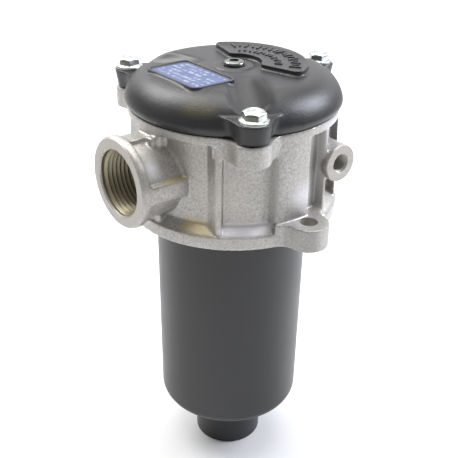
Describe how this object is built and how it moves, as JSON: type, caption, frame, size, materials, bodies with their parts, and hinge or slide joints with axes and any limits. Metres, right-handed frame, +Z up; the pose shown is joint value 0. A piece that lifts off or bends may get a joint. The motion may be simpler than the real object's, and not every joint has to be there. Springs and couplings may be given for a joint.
{
  "type": "return line filter",
  "caption": "Tank-top return line filter: ribbed cast head with threaded side inlet and gauge port, bolted nylon cover, drop-in bowl with bottom outlet, pleated element with bypass.",
  "frame": {"origin": "centre of the mounting face, on the axis of the bowl", "axes": "+Z up along the filter's axis, out of the tank; the inlet port looks along -X; the two tank lugs lie along +Y and -Y"},
  "size_m": [0.1375, 0.1406, 0.2359],
  "materials": {
    "cast_aluminium": "as-cast, fine orange-peel skin; machined at the port faces",
    "black_nylon": "moulded, fine satin grain",
    "charcoal_bowl": "moulded, satin",
    "zinc_steel": "bright zinc plate",
    "black_rubber": "matte",
    "label_film": "light blue film, bare",
    "filter_media": "pleated glass-fibre media",
    "cap_plastic": "moulded, satin",
    "spring_steel": "drawn wire"
  },
  "bodies": {
    "housing": {"filter_head": "cast_aluminium", "cover": "black_nylon", "cover_seal": "black_rubber", "cover_bolt_1": "zinc_steel", "cover_bolt_2": "zinc_steel", "cover_bolt_3": "zinc_steel", "centre_screw": "zinc_steel", "centre_ring": "black_rubber", "spring_cup": "zinc_steel", "label_plate": "label_film", "bowl": "charcoal_bowl", "bowl_seal": "black_rubber", "element_top_cap": "cap_plastic", "element_bottom_cap": "cap_plastic", "pleated_media": "filter_media", "core_tube": "zinc_steel", "element_seal": "black_rubber", "hold_down_spring": "spring_steel", "bypass_spring": "spring_steel", "bypass_cage": "cap_plastic"},
    "bypass_poppet": {"bypass_poppet": "cap_plastic"},
    "element_handle": {"element_handle": "spring_steel"}
  },
  "joints": [
    {"name": "bypass_opening", "type": "slide", "parent": "housing", "child": "bypass_poppet", "axis": [0, 0, -1], "range_m": [0, 0.004], "stiffness_N_per_m": 2500, "springref_m": -0.016, "deforming": ["bypass_spring"]},
    {"name": "handle_lift", "type": "hinge", "parent": "housing", "child": "element_handle", "pos_m": [0, 0, 0.0431], "axis": [0, -1, 0], "range_deg": [0, 40]}
  ]
}
